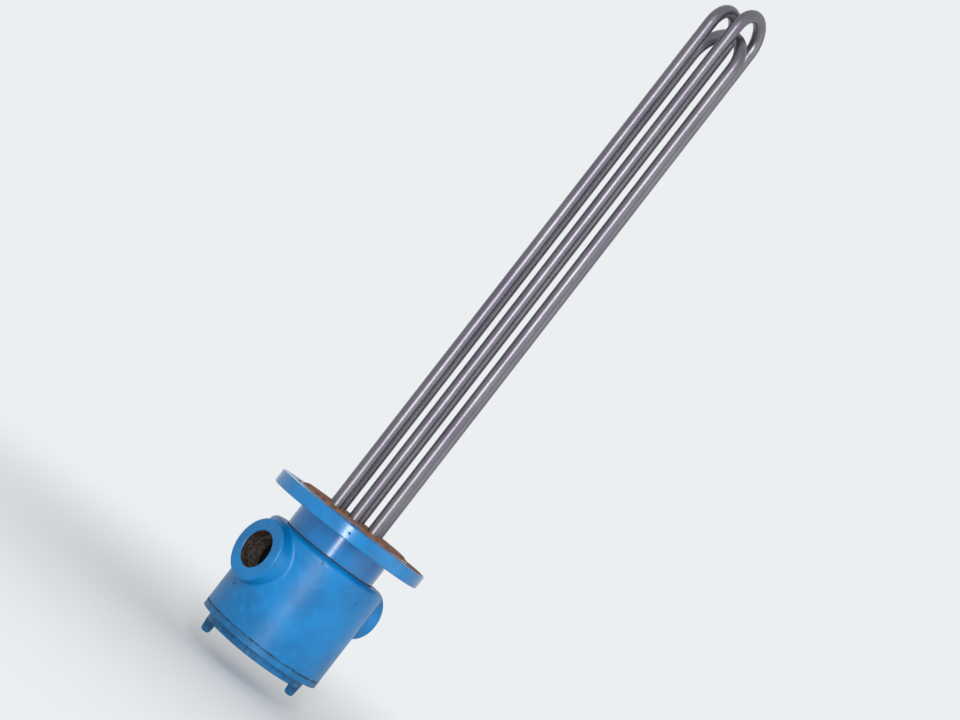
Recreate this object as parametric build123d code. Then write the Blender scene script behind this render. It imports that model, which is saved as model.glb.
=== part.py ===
from build123d import *
from math import cos, hypot, radians
import os

# Flanged immersion heater for a boiler. Three hairpin elements stand on a
# hubbed flange, and a cast terminal housing with a screwed cover sits behind it.
# Millimetres. +Z runs along the elements towards their bends, the origin is the
# centre of the gasket face, and the cable entry points along -X.

# Flange and hub, turned from one piece
flange_diameter = 160.0
flange_thickness = 16.0
gasket_face_diameter = 110.0
gasket_face_height = 3.0
gasket_face_slope = 6.0
bolt_edge_distance = 15.0
bolt_hole_diameter = 14.0
bolt_count = 4
rim_chamfer = 0.8
hub_wall = 9.0
hub_room = 0.2
hub_length = 22.0

# Hairpin elements: six legs in three columns and two rows
sheath_diameter = 12.0
column_pitch = 21.0
row_pitch = 44.0
grid_turn = 42.5
reach_left = 585.0
reach_right = 595.0
reach_wide = 568.0
leg_clearance = 0.1
leg_bead = 1.8

# Cold ends inside the housing
sheath_tail = 36.0
bush_neck_diameter = 8.4
bush_neck_length = 8.0
bush_collar_diameter = 11.4
bush_collar_length = 7.0
bush_clearance = 0.1
pin_diameter = 4.0
pin_clearance = 0.1
pin_length = 34.0
pin_tip_chamfer = 0.5
nut_across_flats = 7.0
nut_height = 3.2
washer_diameter = 9.0
washer_thickness = 1.0
link_width = 9.0
link_thickness = 1.5
clamp_corner_radius = 1.0
clamp_lip_thickness = 0.8
clamp_lip_length = 7.0
clamp_lip_height = 1.6
clamp_lip_room = 0.2

# Joint between hub and housing
joint_gasket_thickness = 1.0
joint_screw_diameter = 5.0
joint_screw_count = 4
joint_screw_grip = 12.0
joint_screw_turn = 45.0
joint_screw_tip_room = 1.5
joint_hole_clearance = 0.3
thread_clearance = 0.05
screw_head_diameter = 8.5
screw_head_height = 5.0
screw_head_chamfer = 0.5
screw_socket = 4.0
screw_socket_depth = 2.6
spring_washer_diameter = 8.8
spring_washer_thickness = 1.2

# Terminal housing, cast
housing_length = 95.5
housing_floor = 9.0
housing_floor_ring = 10.0
housing_wall = 9.0
housing_edge_radius = 7.0
housing_corner_radius = 5.0
entry_boss_diameter = 60.0
entry_boss_stand = 10.5
entry_drop = 32.0
entry_thread_bore = 35.6
entry_thread_length = 11.0
entry_throat = 30.0
side_boss_diameter = 52.0
side_boss_stand = 14.5
side_drop = 28.0
side_thread_bore = 21.3
boss_blend = 4.0
boss_lip_radius = 2.5
entry_chamfer = 1.0

# Screwed cover
cover_thread_wall = 7.0
cover_thread_pitch = 2.0
cover_thread_turns = 6
cover_thread_runout = 4.0
cover_clearance = 0.3
cover_rim_thickness = 6.0
cover_step_width = 10.0
cover_step_height = 8.0
cover_plate = 8.0
cover_spigot_wall = 7.0
cover_edge_radius = 1.5
lug_base_diameter = 11.0
lug_tip_diameter = 8.5
lug_height = 12.0
lug_tip_radius = 3.0
lug_turn = -38.0
seal_section = 3.2
seal_groove_room = 0.2

# Stopping plug of the side entry
plug_head_diameter = 29.0
plug_head_height = 4.0
plug_length = 9.0
plug_socket = 10.0
plug_socket_depth = 7.0
plug_edge = 0.8
plug_seal_thickness = 1.5
plug_fit = 0.1

# Earth terminal on the housing floor
earth_screw_diameter = 5.0
earth_screw_length = 9.0
earth_head_diameter = 9.0
earth_head_height = 3.6
earth_head_radius = 0.9
earth_slot_width = 1.2
earth_slot_depth = 1.6
earth_washer_diameter = 10.0
earth_turn = 90.0
earth_hole_bottom = 2.0

# Levels and radii worked out from the sizes above
flange_back = -flange_thickness
bolt_circle = flange_diameter - 2 * bolt_edge_distance
leg_circle_radius = hypot(column_pitch, row_pitch / 2)
bead_radius = sheath_diameter / 2 + leg_clearance + leg_bead
hub_bore = 2 * (leg_circle_radius + bead_radius + hub_room)
hub_diameter = hub_bore + 2 * hub_wall
hub_end = flange_back - hub_length
housing_top = hub_end - joint_gasket_thickness
floor_level = housing_top - housing_floor
housing_mouth = housing_top - housing_length
cavity_radius = hub_bore / 2 + housing_floor_ring + housing_corner_radius
housing_diameter = 2 * (cavity_radius + housing_wall)
entry_boss_reach = housing_diameter / 2 + entry_boss_stand
side_boss_reach = housing_diameter / 2 + side_boss_stand
entry_level = housing_top - entry_drop
side_level = housing_top - side_drop
sheath_end = flange_back - sheath_tail
pin_radius = pin_diameter / 2
nut_across_corners = nut_across_flats / cos(radians(30))
clamp_side = nut_across_corners + 2 * (clamp_lip_room + clamp_lip_thickness)
joint_screw_circle = (hub_diameter + hub_bore) / 2
earth_circle = hub_bore + housing_floor_ring
thread_engagement = cover_thread_pitch * cover_thread_turns
cover_thread_bore = housing_diameter - 2 * cover_thread_wall
cover_step_diameter = housing_diameter - 2 * cover_step_width
spigot_radius = cover_thread_bore / 2 - cover_clearance
cover_rim_top = housing_mouth - cover_clearance
cover_rim_bottom = cover_rim_top - cover_rim_thickness
cover_bottom = cover_rim_bottom - cover_step_height


def leg_positions():
    """Return the six leg centres, keyed by row and column name."""
    places = {}
    for column, across in (("left", -1), ("middle", 0), ("right", 1)):
        for row, depth in (("front", -0.5), ("rear", 0.5)):
            flat = Vector(across * column_pitch, depth * row_pitch, 0)
            places[row, column] = flat.rotate(Axis.Z, grid_turn - 90)
    return places


def at_height(place, height):
    """Return the point above or below a leg centre at a height."""
    return Vector(place.X, place.Y, height)


def around(count, circle, turn=0.0):
    """Return centres spread evenly on a circle of the given diameter."""
    return PolarLocations(circle / 2, count, start_angle=turn)


def rod(radius, top, bottom):
    """Return an upright cylinder between two heights."""
    middle = Pos(0, 0, (top + bottom) / 2)
    return middle * Cylinder(radius, top - bottom)


def ring(outer, inner, top, bottom):
    """Return an upright ring between two heights, from its two radii."""
    return rod(outer, top, bottom) - rod(inner, top, bottom)


def lying_rod(radius, near, far, level):
    """Return a cylinder along X between two X values at a height."""
    middle = Pos((near + far) / 2, 0, level)
    return middle * Rot(0, 90, 0) * Cylinder(radius, abs(far - near))


def hex_prism(across_flats, top, bottom):
    """Return an upright hexagonal prism between two heights."""
    outline = RegularPolygon(across_flats / 2, 6, major_radius=False)
    return Pos(0, 0, bottom) * extrude(outline, top - bottom)


def place_copies(shape, places):
    """Return one compound with a copy of a shape at each place."""
    return Compound(children=[Pos(place.X, place.Y, 0) * shape for place in places])


def copies_around(shape, count, circle, turn=0.0):
    """Return one compound with copies of a shape spread on a circle."""
    return Compound(children=[spot * shape for spot in around(count, circle, turn)])


def make_flange(legs):
    """Return the flange with its raised gasket face, hub and holes."""
    rim_radius = flange_diameter / 2
    rim = rod(rim_radius, -gasket_face_height, flange_back)
    rim = chamfer(rim.edges().filter_by(GeomType.CIRCLE), rim_chamfer)
    face_radius = gasket_face_diameter / 2
    raised = Cone(face_radius + gasket_face_slope, face_radius, gasket_face_height)
    body = rim + Pos(0, 0, -gasket_face_height / 2) * raised
    body += rod(hub_diameter / 2, flange_back, hub_end)
    body -= rod(hub_bore / 2, flange_back, hub_end)
    bolt_hole = rod(bolt_hole_diameter / 2, 0, flange_back)
    for spot in around(bolt_count, bolt_circle, 180 / bolt_count):
        body -= spot * bolt_hole
    leg_hole = rod(sheath_diameter / 2 + leg_clearance, 0, flange_back)
    for leg in legs.values():
        body -= Pos(leg.X, leg.Y, 0) * leg_hole
    tapped_depth = joint_screw_grip + joint_screw_tip_room
    tapped_radius = joint_screw_diameter / 2 + thread_clearance
    tapped = rod(tapped_radius, hub_end + tapped_depth, hub_end)
    for spot in around(joint_screw_count, joint_screw_circle, joint_screw_turn):
        body -= spot * tapped
    return body


def make_leg_beads(legs):
    """Return the six weld beads round the legs on the flange's dry side."""
    inner = sheath_diameter / 2 + leg_clearance
    foot = Vector(inner, 0, flange_back)
    toe = foot + Vector(leg_bead, 0, 0)
    crest = foot - Vector(0, 0, leg_bead)
    outline = Polyline(foot, toe, crest, close=True)
    bead = revolve(make_face(outline), Axis.Z)
    return place_copies(bead, legs.values())


def make_element(start, end, reach):
    """Return one hairpin sheath with a bored mouth at both cold ends."""
    middle = (start + end) / 2
    bend_radius = (start - end).length / 2
    bend_level = reach - sheath_diameter / 2 - bend_radius
    first_leg = Line(at_height(start, sheath_end), at_height(start, bend_level))
    crown = at_height(middle, bend_level + bend_radius)
    bend = ThreePointArc(first_leg @ 1, crown, at_height(end, bend_level))
    last_leg = Line(bend @ 1, at_height(end, sheath_end))
    section = Plane(at_height(start, sheath_end)) * Circle(sheath_diameter / 2)
    sheath = sweep(section, path=first_leg + bend + last_leg)
    mouth_radius = bush_neck_diameter / 2 + bush_clearance
    mouth = rod(mouth_radius, sheath_end + bush_neck_length, sheath_end)
    for leg in (start, end):
        sheath -= Pos(leg.X, leg.Y, 0) * mouth
    return sheath


def make_bush():
    """Return the ceramic bush that closes a sheath round its pin."""
    neck_top = sheath_end + bush_neck_length
    collar_bottom = sheath_end - bush_collar_length
    bush = rod(bush_neck_diameter / 2, neck_top, sheath_end)
    bush += rod(bush_collar_diameter / 2, sheath_end, collar_bottom)
    return bush - rod(pin_radius + pin_clearance, neck_top, collar_bottom)


def make_pin():
    """Return one terminal pin, from inside the sheath to its free end."""
    top = sheath_end + bush_neck_length
    pin = rod(pin_radius, top, top - pin_length)
    return chamfer(pin.faces().sort_by(Axis.Z)[0].edges(), pin_tip_chamfer)


def stack_levels():
    """Return the heights of the faces in the stack of parts on a pin."""
    levels = [sheath_end - bush_collar_length]
    for thickness in (nut_height, washer_thickness, link_thickness, nut_height):
        levels.append(levels[-1] - thickness)
    return levels


def make_pin_nut(top):
    """Return one hexagon nut on a pin, from its upper face."""
    nut = hex_prism(nut_across_flats, top, top - nut_height)
    return nut - rod(pin_radius + pin_clearance, top, top - nut_height)


def make_star_link(legs, top):
    """Return the flat bar that joins the three rear pins."""
    ends = [legs["rear", "left"], legs["rear", "right"]]
    middle = legs["rear", "middle"]
    outline = SlotCenterToCenter(2 * column_pitch, link_width)
    bar = Pos(middle.X, middle.Y, top - link_thickness) * Rot(0, 0, grid_turn - 90)
    bar *= extrude(outline, link_thickness)
    hole = rod(pin_radius + pin_clearance, top, top - link_thickness)
    for leg in [*ends, middle]:
        bar -= Pos(leg.X, leg.Y, 0) * hole
    return bar


def make_clamp(top):
    """Return a square clamp washer whose two lips hold a wire under the nut."""
    face = Rectangle(clamp_side, clamp_side)
    plate = Pos(0, 0, top - link_thickness) * extrude(face, link_thickness)
    plate = fillet(plate.edges().filter_by(Axis.Z), clamp_corner_radius)
    lip = extrude(Rectangle(clamp_lip_thickness, clamp_lip_length), clamp_lip_height)
    lip_level = top - link_thickness - clamp_lip_height
    lip_centre = (clamp_side - clamp_lip_thickness) / 2
    for side in (-1, 1):
        plate += Pos(side * lip_centre, 0, lip_level) * lip
    return plate - rod(pin_radius + pin_clearance, top, top - link_thickness)


def make_joint_gasket():
    """Return the flat gasket between the hub and the housing."""
    gasket = ring(hub_diameter / 2, hub_bore / 2, hub_end, housing_top)
    hole = rod(joint_screw_diameter / 2 + joint_hole_clearance, hub_end, housing_top)
    for spot in around(joint_screw_count, joint_screw_circle, joint_screw_turn):
        gasket -= spot * hole
    return gasket


def make_joint_screws():
    """Return the four socket screws that draw the housing onto the hub."""
    seat = floor_level - spring_washer_thickness
    crown = seat - screw_head_height
    head = rod(screw_head_diameter / 2, seat, crown)
    head = chamfer(head.faces().sort_by(Axis.Z)[0].edges(), screw_head_chamfer)
    head -= hex_prism(screw_socket, crown + screw_socket_depth, crown)
    screw = head + rod(joint_screw_diameter / 2, hub_end + joint_screw_grip, seat)
    return copies_around(screw, joint_screw_count, joint_screw_circle, joint_screw_turn)


def make_spring_washers():
    """Return the washers under the heads of the joint screws."""
    hole_radius = joint_screw_diameter / 2 + joint_hole_clearance
    bottom = floor_level - spring_washer_thickness
    washer = ring(spring_washer_diameter / 2, hole_radius, floor_level, bottom)
    return copies_around(washer, joint_screw_count, joint_screw_circle, joint_screw_turn)


def make_housing():
    """Return the cast housing with its two bosses, cavity and holes."""
    outer = rod(housing_diameter / 2, housing_top, housing_mouth)
    outer = fillet(outer.faces().sort_by(Axis.Z)[-1].edges(), housing_edge_radius)
    entry_boss = lying_rod(entry_boss_diameter / 2, 0, -entry_boss_reach, entry_level)
    entry_boss = fillet(entry_boss.faces().sort_by(Axis.X)[0].edges(), boss_lip_radius)
    side_boss = lying_rod(side_boss_diameter / 2, 0, side_boss_reach, side_level)
    side_boss = fillet(side_boss.faces().sort_by(Axis.X)[-1].edges(), boss_lip_radius)
    body = outer + entry_boss + side_boss
    body = blend_bosses(body)
    body -= make_cavity()
    body -= make_entry_bore()
    body -= lying_rod(side_thread_bore / 2, 0, side_boss_reach, side_level)
    joint_hole_radius = joint_screw_diameter / 2 + joint_hole_clearance
    joint_hole = rod(joint_hole_radius, housing_top, floor_level)
    for spot in around(joint_screw_count, joint_screw_circle, joint_screw_turn):
        body -= spot * joint_hole
    earth_hole_radius = earth_screw_diameter / 2 + thread_clearance
    earth_hole = rod(earth_hole_radius, housing_top - earth_hole_bottom, floor_level)
    for spot in around(1, earth_circle, earth_turn):
        body -= spot * earth_hole
    return body


def make_entry_bore():
    """Return the space of the cable entry: throat, thread and its chamfer."""
    thread_radius = entry_thread_bore / 2
    thread_end = -entry_boss_reach + entry_thread_length
    bore = lying_rod(entry_throat / 2, 0, -entry_boss_reach, entry_level)
    bore += lying_rod(thread_radius, -entry_boss_reach, thread_end, entry_level)
    mouth = Cone(thread_radius, thread_radius + entry_chamfer, entry_chamfer)
    mouth_centre = Pos(-entry_boss_reach + entry_chamfer / 2, 0, entry_level)
    return bore + mouth_centre * Rot(0, -90, 0) * mouth


def blend_bosses(body):
    """Round the edges where the two bosses run into the housing wall."""
    wall_radius = housing_diameter / 2
    seams = [
        edge
        for edge in body.edges()
        if edge.geom_type not in (GeomType.CIRCLE, GeomType.LINE)
        and abs(Vector(edge.center().X, edge.center().Y, 0).length) < wall_radius + boss_lip_radius
    ]
    return fillet(seams, boss_blend)


def make_cavity():
    """Return the space inside the housing: hub opening, chamber and cover thread."""
    thread_depth = thread_engagement + cover_thread_runout
    chamber = rod(cavity_radius, floor_level, housing_mouth)
    chamber = fillet(chamber.faces().sort_by(Axis.Z)[-1].edges(), housing_corner_radius)
    opening = rod(hub_bore / 2, housing_top, floor_level)
    thread = rod(cover_thread_bore / 2, housing_mouth + thread_depth, housing_mouth)
    return chamber + opening + thread


def make_cover():
    """Return the screwed cover with its spigot, seal groove and two lugs."""
    spigot_top = cover_rim_top + thread_engagement
    spigot = rod(spigot_radius, spigot_top, cover_rim_top)
    cover = spigot + rod(housing_diameter / 2, cover_rim_top, cover_rim_bottom)
    step = rod(cover_step_diameter / 2, cover_rim_bottom, cover_bottom)
    cover += fillet(step.faces().sort_by(Axis.Z)[0].edges(), cover_edge_radius)
    cover -= rod(spigot_radius - cover_spigot_wall, spigot_top, cover_bottom + cover_plate)
    cover -= make_seal_groove()
    lug = make_lug()
    lug_circle = cover_step_diameter - lug_base_diameter
    for spot in around(2, lug_circle, lug_turn):
        cover += spot * lug
    return cover


def make_lug():
    """Return one cast lug, tapered to a round tip, that takes a turning bar."""
    lug = Cone(lug_base_diameter / 2, lug_tip_diameter / 2, lug_height)
    lug = Pos(0, 0, cover_bottom - lug_height / 2) * Rot(180, 0, 0) * lug
    return fillet(lug.faces().sort_by(Axis.Z)[0].edges(), lug_tip_radius)


def seal_levels():
    """Return the upper and lower height of the seal's groove."""
    width = seal_section + 2 * seal_groove_room
    return cover_rim_top + width, cover_rim_top


def make_seal_groove():
    """Return the ring cut from the spigot's root for the seal."""
    top, bottom = seal_levels()
    floor = spigot_radius - seal_section - seal_groove_room
    return ring(spigot_radius, floor, top, bottom)


def make_seal():
    """Return the round rubber ring in the spigot's groove."""
    top, bottom = seal_levels()
    centre = Pos(0, 0, (top + bottom) / 2)
    return centre * Torus(spigot_radius - seal_section / 2, seal_section / 2)


def make_plug():
    """Return the stopping plug of the side entry, with a hexagon socket."""
    seat = side_boss_reach + plug_seal_thickness
    head = lying_rod(plug_head_diameter / 2, seat, seat + plug_head_height, side_level)
    head = chamfer(head.faces().sort_by(Axis.X)[-1].edges(), plug_edge)
    shank_end = side_boss_reach - plug_length
    plug = head + lying_rod(side_thread_bore / 2 - plug_fit, shank_end, seat, side_level)
    socket = extrude(RegularPolygon(plug_socket / 2, 6, major_radius=False), plug_socket_depth)
    return plug - Pos(seat + plug_head_height, 0, side_level) * Rot(0, -90, 0) * socket


def make_plug_seal():
    """Return the sealing washer under the head of the plug."""
    near = side_boss_reach
    far = near + plug_seal_thickness
    outer = lying_rod(plug_head_diameter / 2, near, far, side_level)
    return outer - lying_rod(side_thread_bore / 2, near, far, side_level)


def make_earth_screw():
    """Return the slotted earth screw in the housing floor."""
    seat = floor_level - washer_thickness - link_thickness
    head = rod(earth_head_diameter / 2, seat, seat - earth_head_height)
    head = fillet(head.faces().sort_by(Axis.Z)[0].edges(), earth_head_radius)
    slot = Box(earth_head_diameter, earth_slot_width, 2 * earth_slot_depth)
    head -= Pos(0, 0, seat - earth_head_height) * slot
    screw = head + rod(earth_screw_diameter / 2, seat + earth_screw_length, seat)
    return copies_around(screw, 1, earth_circle, earth_turn)


def make_earth_washer(top, outer, thickness):
    """Return one round washer on the earth screw."""
    hole_radius = earth_screw_diameter / 2 + joint_hole_clearance
    washer = ring(outer, hole_radius, top, top - thickness)
    return copies_around(washer, 1, earth_circle, earth_turn)


def build():
    """Return every piece of the heater, keyed by its name."""
    legs = leg_positions()
    levels = stack_levels()
    pieces = {"flange": make_flange(legs), "leg_weld_beads": make_leg_beads(legs)}
    hairpins = {
        "element_left": (("front", "left"), ("rear", "middle"), reach_left),
        "element_right": (("front", "middle"), ("rear", "right"), reach_right),
        "element_wide": (("rear", "left"), ("front", "right"), reach_wide),
    }
    for name, (start, end, reach) in hairpins.items():
        pieces[name] = make_element(legs[start], legs[end], reach)
    for (row, column), leg in legs.items():
        spot = Pos(leg.X, leg.Y, 0)
        pieces[f"bush_{row}_{column}"] = spot * make_bush()
        pieces[f"terminal_pin_{row}_{column}"] = spot * make_pin()
        if row == "front":
            turn = Rot(0, 0, grid_turn)
            pieces[f"wire_clamp_{column}"] = spot * turn * make_clamp(levels[2])
    pieces["pin_nuts_lower"] = place_copies(make_pin_nut(levels[0]), legs.values())
    washer = ring(washer_diameter / 2, pin_radius + pin_clearance, levels[1], levels[2])
    pieces["pin_washers"] = place_copies(washer, legs.values())
    pieces["star_link"] = make_star_link(legs, levels[2])
    pieces["pin_nuts_upper"] = place_copies(make_pin_nut(levels[3]), legs.values())
    pieces["joint_gasket"] = make_joint_gasket()
    pieces["joint_screws"] = make_joint_screws()
    pieces["joint_spring_washers"] = make_spring_washers()
    pieces["terminal_housing"] = make_housing()
    pieces["housing_cover"] = make_cover()
    pieces["cover_seal"] = make_seal()
    pieces["stopping_plug"] = make_plug()
    pieces["plug_seal"] = make_plug_seal()
    pieces["earth_screw"] = make_earth_screw()
    pieces["earth_washer"] = make_earth_washer(floor_level, earth_washer_diameter / 2, washer_thickness)
    clamp_top = floor_level - washer_thickness
    pieces["earth_clamp"] = make_earth_washer(clamp_top, earth_head_diameter / 2, link_thickness)
    return pieces


os.makedirs("parts", exist_ok=True)
for name, shape in build().items():
    export_step(shape, f"parts/{name}.step")
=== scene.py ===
"""Looks of the flanged boiler heating element: finishes, entry thread, studio and camera."""

import logging
import math
from dataclasses import dataclass, field
from enum import Enum
from typing import Mapping, Sequence, Union

import bmesh
import bpy
from mathutils import Matrix, Vector


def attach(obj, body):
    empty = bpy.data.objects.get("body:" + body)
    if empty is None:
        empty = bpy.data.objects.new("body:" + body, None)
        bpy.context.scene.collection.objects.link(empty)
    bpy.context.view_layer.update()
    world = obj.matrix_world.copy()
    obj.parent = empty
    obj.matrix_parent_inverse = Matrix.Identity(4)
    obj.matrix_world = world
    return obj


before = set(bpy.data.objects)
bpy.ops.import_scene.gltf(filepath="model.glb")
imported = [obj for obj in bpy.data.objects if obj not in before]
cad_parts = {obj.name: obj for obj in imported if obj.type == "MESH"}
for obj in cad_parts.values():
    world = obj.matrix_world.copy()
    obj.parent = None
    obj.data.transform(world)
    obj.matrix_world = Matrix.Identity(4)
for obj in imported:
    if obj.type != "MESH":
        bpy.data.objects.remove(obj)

log = logging.getLogger("heater")

MM = 0.001
Value = Union[float, Sequence[float], bpy.types.NodeSocket]


class Body(Enum):
    """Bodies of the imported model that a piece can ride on."""

    HEATER = "heater"
    COVER = "cover"


class Slot(Enum):
    """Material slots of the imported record."""

    BLUE_STEEL = "blue_steel"
    BLUE_CAST_IRON = "blue_cast_iron"
    SHEATH_STEEL = "sheath_steel"
    SCREW_STEEL = "screw_steel"
    BRASS = "terminal_brass"
    CERAMIC = "ceramic"
    RUBBER = "seal_rubber"


def linear(hex_colour: str) -> tuple[float, float, float, float]:
    """Turn an sRGB hex colour into linear RGBA.

    Args:
        hex_colour: colour written as "#RRGGBB".

    Returns:
        Linear red, green and blue, and an alpha of 1.
    """
    channels = []
    for start in (1, 3, 5):
        value = int(hex_colour[start:start + 2], 16) / 255
        channels.append(value / 12.92 if value <= 0.04045 else ((value + 0.055) / 1.055) ** 2.4)
    return (*channels, 1.0)


def per_metre(size_mm: float) -> float:
    """Return the texture scale whose features are about this many millimetres."""
    return 1.0 / (size_mm * MM)


def add(
    tree: bpy.types.NodeTree,
    kind: str,
    inputs: Mapping[Union[str, int], Value] | None = None,
    **settings: object,
) -> bpy.types.Node:
    """Add one node with its settings, values and links.

    Args:
        tree: node tree that gets the node.
        kind: Blender's type name of the node.
        inputs: socket name or number, with a value or the socket to link from.
        settings: properties of the node itself.

    Returns:
        The new node.
    """
    node = tree.nodes.new(kind)
    for name, setting in settings.items():
        setattr(node, name, setting)
    for key, value in (inputs or {}).items():
        if isinstance(value, bpy.types.NodeSocket):
            tree.links.new(value, node.inputs[key])
        else:
            node.inputs[key].default_value = value
    return node


@dataclass
class Surface:
    """A material's node tree with the few steps that the finishes share."""

    name: str
    material: bpy.types.Material = field(init=False)
    tree: bpy.types.NodeTree = field(init=False)
    place: bpy.types.NodeSocket = field(init=False)

    def __post_init__(self) -> None:
        """Make the empty material and its coordinate node."""
        self.material = bpy.data.materials.new(self.name)
        self.material.use_nodes = True
        self.tree = self.material.node_tree
        self.tree.nodes.clear()
        self.place = add(self.tree, "ShaderNodeTexCoord").outputs["Object"]

    def math(self, operation: str, *values: Value, clamp: bool = False) -> bpy.types.NodeSocket:
        """Combine values or sockets with one arithmetic step.

        Args:
            operation: Blender's name of the operation.
            values: its operands in order.
            clamp: whether the result stays between 0 and 1.

        Returns:
            The result's socket.
        """
        inputs = dict(enumerate(values))
        node = add(self.tree, "ShaderNodeMath", inputs, operation=operation, use_clamp=clamp)
        return node.outputs[0]

    def between(self, value: Value, low: float, high: float, soft: float) -> bpy.types.NodeSocket:
        """Return a mask that is 1 while a value lies between two limits.

        Args:
            value: socket that is tested.
            low: lower limit.
            high: upper limit.
            soft: width over which the mask fades at each limit.

        Returns:
            The mask's socket.
        """
        rise = self.ramp(value, low - soft, low + soft)
        fall = self.ramp(value, high + soft, high - soft)
        return self.math("MULTIPLY", rise, fall)

    def ramp(self, value: Value, start: float, end: float) -> bpy.types.NodeSocket:
        """Return a value that goes smoothly from 0 at start to 1 at end."""
        inputs = {"Value": value, "From Min": start, "From Max": end}
        node = add(self.tree, "ShaderNodeMapRange", inputs, interpolation_type="SMOOTHSTEP")
        return node.outputs["Result"]

    def noise(
        self,
        size_mm: float,
        detail: float = 3.0,
        stretch: Sequence[float] = (1, 1, 1),
    ) -> bpy.types.NodeSocket:
        """Return cloudy noise.

        Args:
            size_mm: size of its features.
            detail: how many finer layers it has.
            stretch: factors on the coordinates along X, Y and Z.

        Returns:
            The noise's socket.
        """
        place = self.place
        if tuple(stretch) != (1, 1, 1):
            place = add(self.tree, "ShaderNodeMapping", {"Vector": place, "Scale": stretch}).outputs[0]
        inputs = {"Vector": place, "Scale": per_metre(size_mm), "Detail": detail, "Roughness": 0.55}
        return add(self.tree, "ShaderNodeTexNoise", inputs).outputs["Fac"]

    def cells(self, size_mm: float) -> bpy.types.NodeSocket:
        """Return the distance to the middle of scattered cells of this size."""
        inputs = {"Vector": self.place, "Scale": per_metre(size_mm), "Randomness": 1.0}
        return add(self.tree, "ShaderNodeTexVoronoi", inputs).outputs["Distance"]

    def blend(self, share: Value, first: Value, second: Value) -> bpy.types.NodeSocket:
        """Mix two colours, 0 giving the first and 1 the second."""
        inputs = {0: share, 6: first, 7: second}
        return add(self.tree, "ShaderNodeMix", inputs, data_type="RGBA").outputs[2]

    def axes(self) -> list[bpy.types.NodeSocket]:
        """Return the X, Y and Z of the surface point in metres."""
        return list(add(self.tree, "ShaderNodeSeparateXYZ", {0: self.place}).outputs)

    def reach(self, first: Value, second: Value) -> bpy.types.NodeSocket:
        """Return the distance from an axis, from two coordinates measured off it."""
        squares = [self.math("POWER", value, 2.0) for value in (first, second)]
        return self.math("SQRT", self.math("ADD", *squares))

    def spots(self, places: Sequence[tuple[float, float, float, float]]) -> bpy.types.NodeSocket:
        """Return a mask of ragged spots.

        Args:
            places: X, Y, Z and radius of each spot in millimetres.

        Returns:
            The mask's socket, 1 inside a spot.
        """
        ragged = self.math("MULTIPLY", self.math("SUBTRACT", self.noise(1.8), 0.5), 2.4)
        mask: Value = 0.0
        for x, y, z, radius in places:
            centre = (x * MM, y * MM, z * MM)
            gap = add(self.tree, "ShaderNodeVectorMath", {0: self.place, 1: centre}, operation="DISTANCE")
            share = self.math("ADD", self.math("DIVIDE", gap.outputs["Value"], radius * MM), ragged)
            mask = self.math("MAXIMUM", mask, self.ramp(share, 1.15, 0.75))
        return mask

    def bump(self, height: Value, depth_mm: float, under: Value | None = None) -> bpy.types.NodeSocket:
        """Return a normal that follows a height pattern.

        Args:
            height: pattern from 0 to 1.
            depth_mm: how deep the whole pattern is.
            under: normal of a coarser pattern that this one lies on.

        Returns:
            The normal's socket.
        """
        inputs: dict[str, Value] = {"Height": height, "Distance": depth_mm * MM, "Strength": 1.0}
        if under is not None:
            inputs["Normal"] = under
        return add(self.tree, "ShaderNodeBump", inputs).outputs["Normal"]

    def close(self, **sockets: Value) -> bpy.types.Material:
        """Add the shader with its sockets and finish the material.

        Args:
            sockets: shader socket names with underscores, and their values.

        Returns:
            The finished material.
        """
        inputs = {name.replace("_", " "): value for name, value in sockets.items()}
        shader = add(self.tree, "ShaderNodeBsdfPrincipled", inputs)
        add(self.tree, "ShaderNodeOutputMaterial", {"Surface": shader.outputs[0]})
        return self.material


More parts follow.
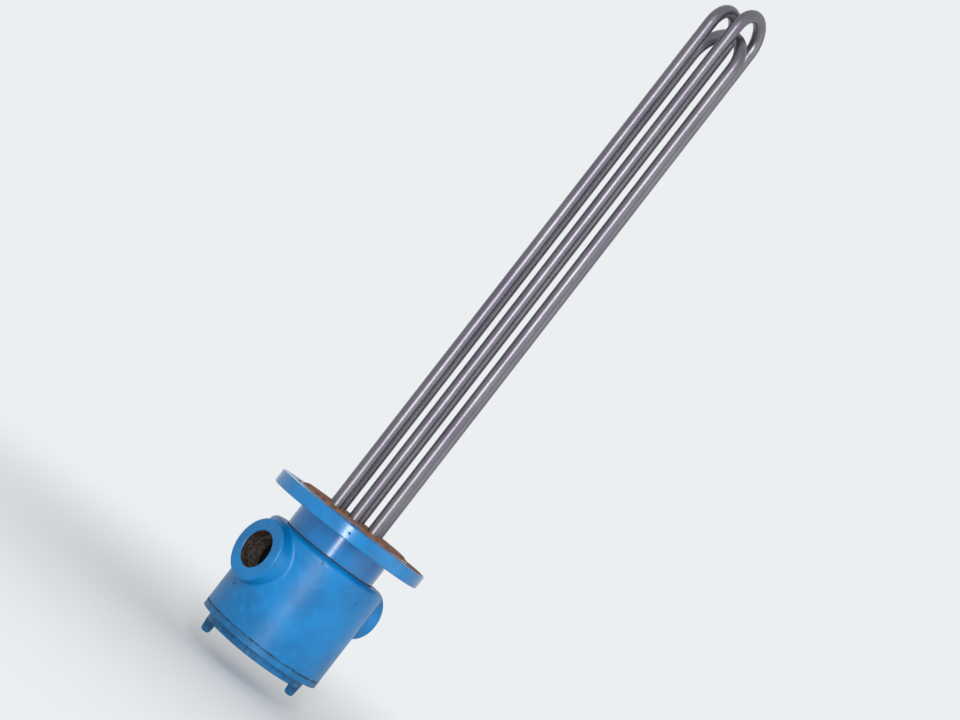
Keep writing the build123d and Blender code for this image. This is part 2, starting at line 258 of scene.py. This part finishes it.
@dataclass(frozen=True)
class EnamelledSteelFlange:
    """Gloss blue enamel over turned steel, bare and rusting on the gasket face."""

    name: str = "gloss_enamel_on_turned_steel"
    paint: str = "#027ABC"
    paint_deep: str = "#026CA8"
    rust: str = "#A8662F"
    rust_dark: str = "#5A3E2E"
    steel: str = "#74675C"
    chip: str = "#14608E"
    paint_edge_mm: float = -2.2
    ring_levels_mm: tuple[float, float] = (-3.2, -2.9)
    creep_radius_mm: float = 65.0
    creep_wander_mm: float = 12.0
    creep_side_deg: float = -42.0
    creep_lean: float = 0.17
    rim_radius_mm: float = 80.0
    rim_levels_mm: tuple[float, float] = (-3.8, -15.2)
    chip_spots: tuple[tuple[float, float, float, float], ...] = ((-51.8, -60.9, -9.6, 1.3),)

    def material(self) -> bpy.types.Material:
        """Build the flange's material.

        Returns:
            Enamel that reaches a little way up the raised face, with chipped rim edges.
        """
        s = Surface(self.name)
        x, y, z = s.axes()
        radius = s.reach(x, y)
        # the brush left an uneven edge on the side of the raised face
        edge = s.math("MULTIPLY", s.math("SUBTRACT", s.noise(9.0), 0.5), 1.2 * MM)
        painted, unpainted = ((self.paint_edge_mm + step) * MM for step in (-0.2, 0.2))
        bare = s.ramp(s.math("ADD", z, edge), painted, unpainted)
        bare = s.math("MAXIMUM", bare, self._creep(s, x, y, z))
        # chips sit on the two sharp edges of the rim
        outside = s.ramp(radius, (self.rim_radius_mm - 1.6) * MM, (self.rim_radius_mm - 0.7) * MM)
        upper, lower = (level * MM for level in self.rim_levels_mm)
        inner = s.between(z, lower, upper, 0.3 * MM)
        on_edge = s.math("MULTIPLY", outside, s.math("SUBTRACT", 1.0, inner))
        chips = s.math("MULTIPLY", s.ramp(s.noise(3.4), 0.6, 0.66), on_edge)
        tone = s.blend(s.ramp(s.noise(26.0), 0.35, 0.7), linear(self.paint), linear(self.paint_deep))
        rust = s.blend(s.ramp(s.noise(5.0, 5.0), 0.36, 0.62), linear(self.rust), linear(self.rust_dark))
        rust = s.blend(s.ramp(s.noise(14.0), 0.52, 0.66), rust, linear(self.steel))
        chips = s.math("MAXIMUM", chips, s.spots(self.chip_spots))
        colour = s.blend(bare, s.blend(chips, tone, linear(self.chip)), rust)
        worn = s.math("MAXIMUM", bare, chips)
        rough = s.math("ADD", s.math("MULTIPLY", worn, 0.7), 0.2)
        peel = s.bump(s.noise(4.0, 1.0), 0.012)
        scale = s.math("MULTIPLY", s.noise(1.1, 5.0), bare)
        return s.close(
            Base_Color=colour,
            Roughness=rough,
            IOR=1.5,
            Specular_IOR_Level=0.5,
            Normal=s.bump(scale, 0.35, peel),
        )

    def _creep(self, s: Surface, x: Value, y: Value, z: Value) -> bpy.types.NodeSocket:
        """Return the rust that has crept from the raised face onto the flat ring.

        Args:
            s: surface that gets the nodes.
            x: X of the surface point in metres.
            y: Y of the surface point in metres.
            z: Z of the surface point in metres.

        Returns:
            A mask that is 1 on the rust, which reaches furthest on one side.
        """
        side = math.radians(self.creep_side_deg)
        lean = s.math("ADD", s.math("MULTIPLY", x, math.cos(side)), s.math("MULTIPLY", y, math.sin(side)))
        lean = s.math("MULTIPLY", s.math("MAXIMUM", lean, 0.0), self.creep_lean)
        wander = s.math("MULTIPLY", s.math("SUBTRACT", s.noise(12.0, 4.0), 0.5), self.creep_wander_mm * MM)
        reach = s.math("SUBTRACT", s.math("ADD", s.reach(x, y), wander), lean)
        near = s.ramp(reach, (self.creep_radius_mm + 0.5) * MM, (self.creep_radius_mm - 0.5) * MM)
        low, high = (level * MM for level in self.ring_levels_mm)
        return s.math("MULTIPLY", near, s.between(z, low, high, 0.1 * MM))


@dataclass(frozen=True)
class EnamelledIronCasting:
    """The same blue enamel over a sand casting, duller, with pits and dirt in the seam."""

    name: str = "enamel_on_sand_cast_iron"
    paint: str = "#0079BA"
    paint_worn: str = "#1C88C2"
    paint_deep: str = "#0069A4"
    dirt: str = "#1E3444"
    # bare iron of the chamber and the entry bore, its colours darkened to paint the shade inside them
    bare: str = "#48403A"
    bare_dark_in_painted_shade: str = "#1A1716"
    seam_level_mm: float = -134.6
    cavity_radius_mm: float = 56.2
    cavity_levels_mm: tuple[float, float] = (-134.2, -39.2)
    entry_level_mm: float = -71.0
    entry_radius_mm: float = 18.0
    spigot_top_mm: float = -122.5
    pitch_mm: float = 2.0
    dull: float = 0.38
    grime: float = 0.25
    chip_spots: tuple[tuple[float, float, float, float], ...] = (
        (3.6, -62.4, -56.0, 1.6),
        (-41.8, -46.4, -45.0, 1.6),
    )

    def material(self) -> bpy.types.Material:
        """Build the casting's material.

        Returns:
            Enamel outside, a bare brown casting inside darkened as painted shade, with the cover's thread
            as relief.
        """
        s = Surface(self.name)
        x, y, z = s.axes()
        radius = s.reach(x, y)
        low, high = (level * MM for level in self.cavity_levels_mm)
        near_axis = s.math("LESS_THAN", radius, self.cavity_radius_mm * MM)
        chamber = s.math("MULTIPLY", near_axis, s.between(z, low, high, 0.1 * MM))
        off_entry = s.math("SUBTRACT", z, self.entry_level_mm * MM)
        entry = s.math("LESS_THAN", s.reach(y, off_entry), self.entry_radius_mm * MM)
        inside = s.math("MAXIMUM", chamber, s.math("MULTIPLY", entry, s.math("LESS_THAN", x, -40.0 * MM)))
        # sand grain, soft swelling of the casting, and a few blow holes
        grain = s.noise(2.0, 3.0)
        swell = s.noise(16.0, 1.0)
        pits = s.ramp(s.cells(19.0), 0.1, 0.04)
        pits = s.math("MULTIPLY", pits, s.ramp(s.noise(37.0, 1.0), 0.54, 0.6))
        scuffs = s.ramp(s.noise(9.0, 4.0), 0.5, 0.75)
        tone = s.blend(s.ramp(s.noise(38.0), 0.34, 0.68), linear(self.paint), linear(self.paint_deep))
        tone = s.blend(s.math("MULTIPLY", scuffs, 0.4), tone, linear(self.paint_worn))
        seam = s.between(z, (self.seam_level_mm - 1.1) * MM, (self.seam_level_mm + 1.1) * MM, 0.8 * MM)
        grimy = s.math("MULTIPLY", s.ramp(s.noise(7.0, 4.0), 0.3, 0.62), s.math("MULTIPLY", seam, 0.8))
        below = s.ramp(z, self.seam_level_mm * MM, (self.seam_level_mm - 16) * MM)
        below = s.math("MULTIPLY", below, self.grime)
        grimy = s.math("MAXIMUM", grimy, s.math("MULTIPLY", below, s.ramp(s.noise(6.0, 5.0), 0.38, 0.66)))
        grimy = s.math("MAXIMUM", grimy, s.math("MULTIPLY", pits, 0.75))
        grimy = s.math("MAXIMUM", grimy, s.math("MULTIPLY", s.spots(self.chip_spots), 0.4))
        # the inside gets the dark bare iron, which paints the shade in the chamber and the entry bore
        iron = s.blend(s.ramp(s.noise(3.5, 5.0), 0.35, 0.65), linear(self.bare), linear(self.bare_dark_in_painted_shade))
        colour = s.blend(inside, s.blend(grimy, tone, linear(self.dirt)), iron)
        rough = s.math("ADD", s.math("MULTIPLY", s.math("MAXIMUM", inside, grimy), 0.4), self.dull)
        # the cover's screw thread, one ridge for each pitch along the axis
        turn = s.math("DIVIDE", s.math("ARCTAN2", y, x), 2 * math.pi)
        phase = s.math("ADD", s.math("DIVIDE", z, self.pitch_mm * MM), turn)
        ridge = s.math("PINGPONG", phase, 0.5)
        on_thread = s.math(
            "MULTIPLY",
            s.math("COMPARE", radius, 55.3 * MM, 0.5 * MM),
            s.between(z, self.seam_level_mm * MM, self.spigot_top_mm * MM, 0.05 * MM),
        )
        thread = s.math("MULTIPLY", ridge, on_thread)
        normal = s.bump(swell, 0.35)
        normal = s.bump(grain, 0.05, normal)
        normal = s.bump(s.math("SUBTRACT", 1.0, pits), 0.5, normal)
        return s.close(
            Base_Color=colour,
            Roughness=rough,
            IOR=1.5,
            Specular_IOR_Level=0.4,
            Normal=s.bump(thread, 1.6, normal),
        )


@dataclass(frozen=True)
class DrawnSheathSteel:
    """Drawn and annealed stainless tube: grey with a faint purple heat tint."""

    name: str = "annealed_stainless_sheath"
    metal: str = "#78757B"
    tint: str = "#6C6773"
    scale: str = "#555155"

    def material(self) -> bpy.types.Material:
        """Build the sheath's material.

        Returns:
            A metal with drawing lines along the tube and cloudy heat tint.
        """
        s = Surface(self.name)
        lines = s.noise(1.6, 2.0, (1, 1, 0.03))
        cloud = s.ramp(s.noise(24.0, 4.0, (1, 1, 0.4)), 0.36, 0.68)
        colour = s.blend(cloud, linear(self.metal), linear(self.tint))
        specks = s.ramp(s.noise(3.4, 3.0), 0.56, 0.74)
        colour = s.blend(s.math("MULTIPLY", specks, 0.4), colour, linear(self.scale))
        rough = s.math("ADD", s.math("MULTIPLY", lines, 0.06), 0.36)
        rough = s.math("ADD", rough, s.math("MULTIPLY", specks, 0.05))
        fine = s.bump(lines, 0.004)
        return s.close(
            Base_Color=colour,
            Metallic=1.0,
            Roughness=rough,
            Normal=s.bump(s.noise(3.2, 2.0), 0.008, fine),
        )


@dataclass(frozen=True)
class TurnedMetal:
    """Small turned or stamped fittings, whose finish differs in colour and polish."""

    name: str
    light: str
    dark: str
    rough: float
    metallic: float = 1.0
    mottle_mm: float = 2.5
    thread_pitch_mm: float = 0.0

    def material(self) -> bpy.types.Material:
        """Build the fitting's material.

        Returns:
            A mottled metal with tool marks, and a thread where it has a pitch.
        """
        s = Surface(self.name)
        mottle = s.ramp(s.noise(self.mottle_mm, 4.0), 0.34, 0.68)
        colour = s.blend(mottle, linear(self.light), linear(self.dark))
        normal = s.bump(s.noise(0.6, 2.0), 0.02)
        if self.thread_pitch_mm:
            z = s.axes()[2]
            ridge = s.math("PINGPONG", s.math("DIVIDE", z, self.thread_pitch_mm * MM), 0.5)
            normal = s.bump(ridge, 0.5, normal)
        return s.close(
            Base_Color=colour,
            Metallic=self.metallic,
            Roughness=s.math("ADD", s.math("MULTIPLY", mottle, 0.15), self.rough),
            Normal=normal,
        )


@dataclass(frozen=True)
class MouldedSolid:
    """Fired or moulded non-metals: ceramic bushes, rubber seals and the fibre gasket."""

    name: str
    light: str
    dark: str
    rough: float
    grain_mm: float
    depth_mm: float
    ior: float = 1.5

    def material(self) -> bpy.types.Material:
        """Build the material.

        Returns:
            A dull surface with a grain of its own size.
        """
        s = Surface(self.name)
        grain = s.noise(self.grain_mm, 4.0)
        colour = s.blend(s.ramp(grain, 0.35, 0.65), linear(self.light), linear(self.dark))
        return s.close(
            Base_Color=colour,
            Roughness=self.rough,
            IOR=self.ior,
            Normal=s.bump(grain, self.depth_mm),
        )


ENAMELLED_FLANGE = EnamelledSteelFlange()
ENAMELLED_HOUSING = EnamelledIronCasting()
ENAMELLED_COVER = EnamelledIronCasting(
    name="enamel_on_cast_iron_cover",
    paint="#0472AC",
    paint_deep="#085C8E",
    dull=0.44,
    grime=0.65,
    chip_spots=(),
)
SHEATH_STEEL = DrawnSheathSteel()
ZINC_STEEL = TurnedMetal("zinc_plated_steel", "#B9BBBE", "#93969A", 0.28)
PIN_STEEL = TurnedMetal("nickel_plated_terminal_pin", "#B4B1AA", "#8F8B82", 0.3, thread_pitch_mm=0.7)
TURNED_BRASS = TurnedMetal("turned_brass", "#C9A25A", "#9C7A3C", 0.3)
BRAZE_STEEL = TurnedMetal("weld_metal", "#7C7874", "#4E4642", 0.5, mottle_mm=1.2)
STEATITE = MouldedSolid("steatite_ceramic", "#E6E0D2", "#D3CBBA", 0.42, 1.5, 0.02)
NITRILE = MouldedSolid("nitrile_rubber", "#1D1D1E", "#262628", 0.55, 2.0, 0.02, 1.52)
FIBRE_GASKET = MouldedSolid("pressed_fibre_gasket", "#3B3A36", "#282724", 0.8, 0.7, 0.08)


@dataclass
class DressedNodes:
    """A sub-assembly whose CAD shapes stay and only get their finish."""

    title: str
    finish: EnamelledSteelFlange | EnamelledIronCasting | DrawnSheathSteel | TurnedMetal | MouldedSolid
    nodes: tuple[str, ...]

    def build(self) -> int:
        """Give every node of the sub-assembly its material.

        Returns:
            How many nodes were dressed.
        """
        material = self.finish.material()
        for name in self.nodes:
            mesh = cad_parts[name].data
            mesh.materials.clear()
            mesh.materials.append(material)
        return len(self.nodes)


@dataclass
class CableEntryThread:
    """The female thread of the cable entry, cut into the boss of the housing."""

    wall_radius_mm: float = 17.8
    ridge_height_mm: float = 0.9
    pitch_mm: float = 1.9
    mouth_mm: float = -71.9
    end_mm: float = -62.3
    level_mm: float = -71.0
    sink_mm: float = 0.05
    steps_a_turn: int = 72

    def build(self) -> int:
        """Make the helical ridge and dress it.

        Returns:
            How many pieces were made.
        """
        mesh = bpy.data.meshes.new("cable_entry_thread")
        shape = bmesh.new()
        half = self.pitch_mm * 0.42
        turns = (self.end_mm - self.mouth_mm - 2 * half) / self.pitch_mm
        count = int(turns * self.steps_a_turn)
        rows = []
        for step in range(count + 1):
            rows.append(self._section(shape, step, count, half))
        for near, far in zip(rows, rows[1:]):
            for side in range(3):
                shape.faces.new((near[side], near[(side + 1) % 3], far[(side + 1) % 3], far[side]))
        shape.faces.new(rows[0])
        shape.faces.new(reversed(rows[-1]))
        bmesh.ops.recalc_face_normals(shape, faces=shape.faces)
        shape.to_mesh(mesh)
        shape.free()
        thread = bpy.data.objects.new("cable_entry_thread", mesh)
        bpy.context.scene.collection.objects.link(thread)
        # the thread's iron colours are darkened to paint the shade deep in the entry bore
        mesh.materials.append(TurnedMetal("cut_iron_thread_in_painted_shade", "#4A3C34", "#241D1A", 0.6).material())
        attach(thread, Body.HEATER.value)
        return 1

    def _section(
        self,
        shape: bmesh.types.BMesh,
        step: int,
        count: int,
        half: float,
    ) -> list[bmesh.types.BMVert]:
        """Add the three corners of the ridge at one step of the helix.

        Args:
            shape: mesh under construction.
            step: number of the step, from 0 at the mouth.
            count: number of the last step.
            half: half the ridge's width in millimetres.

        Returns:
            The three new corners.
        """
        angle = 2 * math.pi * step / self.steps_a_turn
        along = self.mouth_mm + half + step / self.steps_a_turn * self.pitch_mm
        runout = min(1.0, step / 12, (count - step) / 12)
        wall = self.wall_radius_mm + self.sink_mm
        crest = self.wall_radius_mm - self.ridge_height_mm * runout
        corners = []
        for shift, radius in ((-half, wall), (0.0, crest), (half, wall)):
            height = self.level_mm + radius * math.sin(angle)
            spot = Vector((along + shift, radius * math.cos(angle), height))
            corners.append(shape.verts.new(spot * MM))
        return corners


@dataclass
class Studio:
    """Pale floor, plain backdrop, soft lamps and the camera of the photograph."""

    floor_hex: str = "#ECEFF1"
    # below the cover's lugs when the cover is screwed right out
    floor_level_mm: float = -175.0
    floor_radius: float = 9.0
    ambient: float = 0.32
    azimuth_deg: float = -42.0
    distance: float = 1.7455
    height: float = 0.0624
    aim_right: float = -0.00039
    aim_up: float = 0.18314
    roll: float = 0.66
    lens: float = 72.19
    sensor: float = 36.0

    def build(self) -> int:
        """Make the whole studio.

        Returns:
            How many stage pieces were made.
        """
        scene = bpy.context.scene
        scene.view_settings.view_transform = "Standard"
        self._world()
        made = self._floor()
        self._lamps()
        self._camera()
        return made

    def _side(self, degrees: float) -> Vector:
        """Return the level direction at an angle to the right of the camera."""
        angle = math.radians(self.azimuth_deg + degrees)
        return Vector((math.sin(angle), -math.cos(angle), 0.0))

    def _world(self) -> None:
        """Light the scene evenly and show the floor's colour as backdrop."""
        world = bpy.data.worlds.new("studio_air")
        bpy.context.scene.world = world
        world.use_nodes = True
        tree = world.node_tree
        tree.nodes.clear()
        path = add(tree, "ShaderNodeLightPath").outputs
        seen = path["Is Camera Ray"]
        for ray in ("Is Glossy Ray", "Is Transmission Ray"):
            either = {0: seen, 1: path[ray]}
            seen = add(tree, "ShaderNodeMath", either, operation="MAXIMUM").outputs[0]
        air = add(tree, "ShaderNodeBackground", {"Color": (1, 1, 1, 1), "Strength": self.ambient})
        backdrop = add(tree, "ShaderNodeBackground", {"Color": linear(self.floor_hex), "Strength": 1.0})
        both = {0: seen, 1: air.outputs[0], 2: backdrop.outputs[0]}
        mixed = add(tree, "ShaderNodeMixShader", both)
        add(tree, "ShaderNodeOutputWorld", {"Surface": mixed.outputs[0]})

    def _floor(self) -> int:
        """Lay the round floor, whose far part turns into the backdrop."""
        mesh = bpy.data.meshes.new("studio_floor")
        shape = bmesh.new()
        bmesh.ops.create_circle(shape, cap_ends=True, segments=96, radius=self.floor_radius)
        bmesh.ops.translate(shape, verts=shape.verts, vec=(0, 0, self.floor_level_mm * MM))
        shape.to_mesh(mesh)
        shape.free()
        floor = bpy.data.objects.new("studio_floor", mesh)
        bpy.context.scene.collection.objects.link(floor)
        s = Surface("pale_studio_paper")
        x, y, _ = s.axes()
        far = s.ramp(s.reach(x, y), -0.35, 0.75)
        shade = linear(self.floor_hex)
        paper = add(s.tree, "ShaderNodeBsdfDiffuse", {"Color": shade}).outputs[0]
        glow = add(s.tree, "ShaderNodeEmission", {"Color": shade, "Strength": 1.0}).outputs[0]
        mixed = add(s.tree, "ShaderNodeMixShader", {0: far, 1: paper, 2: glow}).outputs[0]
        add(s.tree, "ShaderNodeOutputMaterial", {"Surface": mixed})
        mesh.materials.append(s.material)
        return 1

    def _lamp(
        self,
        name: str,
        degrees: float,
        distance: float,
        height: float,
        size: tuple[float, float],
        glow: float,
    ) -> None:
        """Hang one upright soft box that faces the heater's axis.

        Args:
            name: name of the lamp.
            degrees: angle to the right of the camera.
            distance: level distance from the heater's axis in metres.
            height: height above the gasket face in metres.
            size: width and height of the box in metres.
            glow: brightness of its face, where 1 is white.
        """
        data = bpy.data.lights.new(name, "AREA")
        data.shape = "RECTANGLE"
        data.size, data.size_y = size
        data.energy = glow * math.pi * size[0] * size[1]
        lamp = bpy.data.objects.new(name, data)
        spot = self._side(degrees) * distance + Vector((0, 0, height))
        aim = Vector((0, 0, height)) - spot
        lamp.location = spot
        lamp.rotation_euler = aim.to_track_quat("-Z", "Y").to_euler()
        bpy.context.scene.collection.objects.link(lamp)

    def _lamps(self) -> None:
        """Hang the narrow front lamp and the broad side lamp."""
        self._lamp("front_strip", 0.0, 1.8, 0.52, (0.17, 1.35), 38.0)
        self._lamp("right_box", 66.0, 2.2, 0.5, (2.2, 1.8), 0.8)

    def _camera(self) -> None:
        """Set the camera to the photograph's angle, tilt and frame."""
        data = bpy.data.cameras.new("photo_camera")
        data.lens = self.lens
        data.sensor_width = self.sensor
        camera = bpy.data.objects.new("photo_camera", data)
        toward = self._side(0.0)
        level_right = Vector((-toward.y, toward.x, 0.0))
        spot = toward * self.distance + Vector((0, 0, self.height))
        aim = level_right * self.aim_right + Vector((0, 0, self.aim_up))
        ahead = (aim - spot).normalized()
        right = ahead.cross(Vector((0, 0, 1))).normalized()
        up = right.cross(ahead)
        turned_right = right * math.cos(self.roll) + up * math.sin(self.roll)
        turned_up = up * math.cos(self.roll) - right * math.sin(self.roll)
        rotation = Matrix((turned_right, turned_up, -ahead)).transposed()
        camera.matrix_world = Matrix.Translation(spot) @ rotation.to_4x4()
        bpy.context.scene.collection.objects.link(camera)
        bpy.context.scene.camera = camera


ROWS = ("front", "rear")
COLUMNS = ("left", "middle", "right")
ROWS_AND_COLUMNS = [f"{row}_{column}" for row in ROWS for column in COLUMNS]


def sub_assemblies() -> list[DressedNodes]:
    """Return every group of CAD nodes with the finish that it gets."""
    return [
        DressedNodes("flange", ENAMELLED_FLANGE, ("flange",)),
        DressedNodes("leg welds", BRAZE_STEEL, ("leg_weld_beads",)),
        DressedNodes("elements", SHEATH_STEEL, ("element_left", "element_right", "element_wide")),
        DressedNodes("bushes", STEATITE, tuple(f"bush_{place}" for place in ROWS_AND_COLUMNS)),
        DressedNodes("pins", PIN_STEEL, tuple(f"terminal_pin_{place}" for place in ROWS_AND_COLUMNS)),
        DressedNodes(
            "terminal brass",
            TURNED_BRASS,
            (
                "wire_clamp_left", "wire_clamp_middle", "wire_clamp_right", "pin_nuts_lower",
                "pin_washers", "star_link", "pin_nuts_upper", "earth_screw", "earth_washer",
                "earth_clamp", "stopping_plug",
            ),
        ),
        DressedNodes("joint gasket", FIBRE_GASKET, ("joint_gasket",)),
        DressedNodes("joint screws", ZINC_STEEL, ("joint_screws", "joint_spring_washers")),
        DressedNodes("housing", ENAMELLED_HOUSING, ("terminal_housing",)),
        DressedNodes("cover", ENAMELLED_COVER, ("housing_cover",)),
        DressedNodes("seals", NITRILE, ("cover_seal", "plug_seal")),
    ]


def main() -> None:
    """Dress the heater, then set up the studio."""
    logging.basicConfig(level=logging.INFO, format="%(name)s: %(message)s")
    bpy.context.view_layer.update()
    for group in sub_assemblies():
        log.info("%s: %d nodes dressed", group.title, group.build())
    log.info("cable entry thread: %d piece", CableEntryThread().build())
    log.info("studio: %d stage piece", Studio().build())


if __name__ == "__main__":
    main()
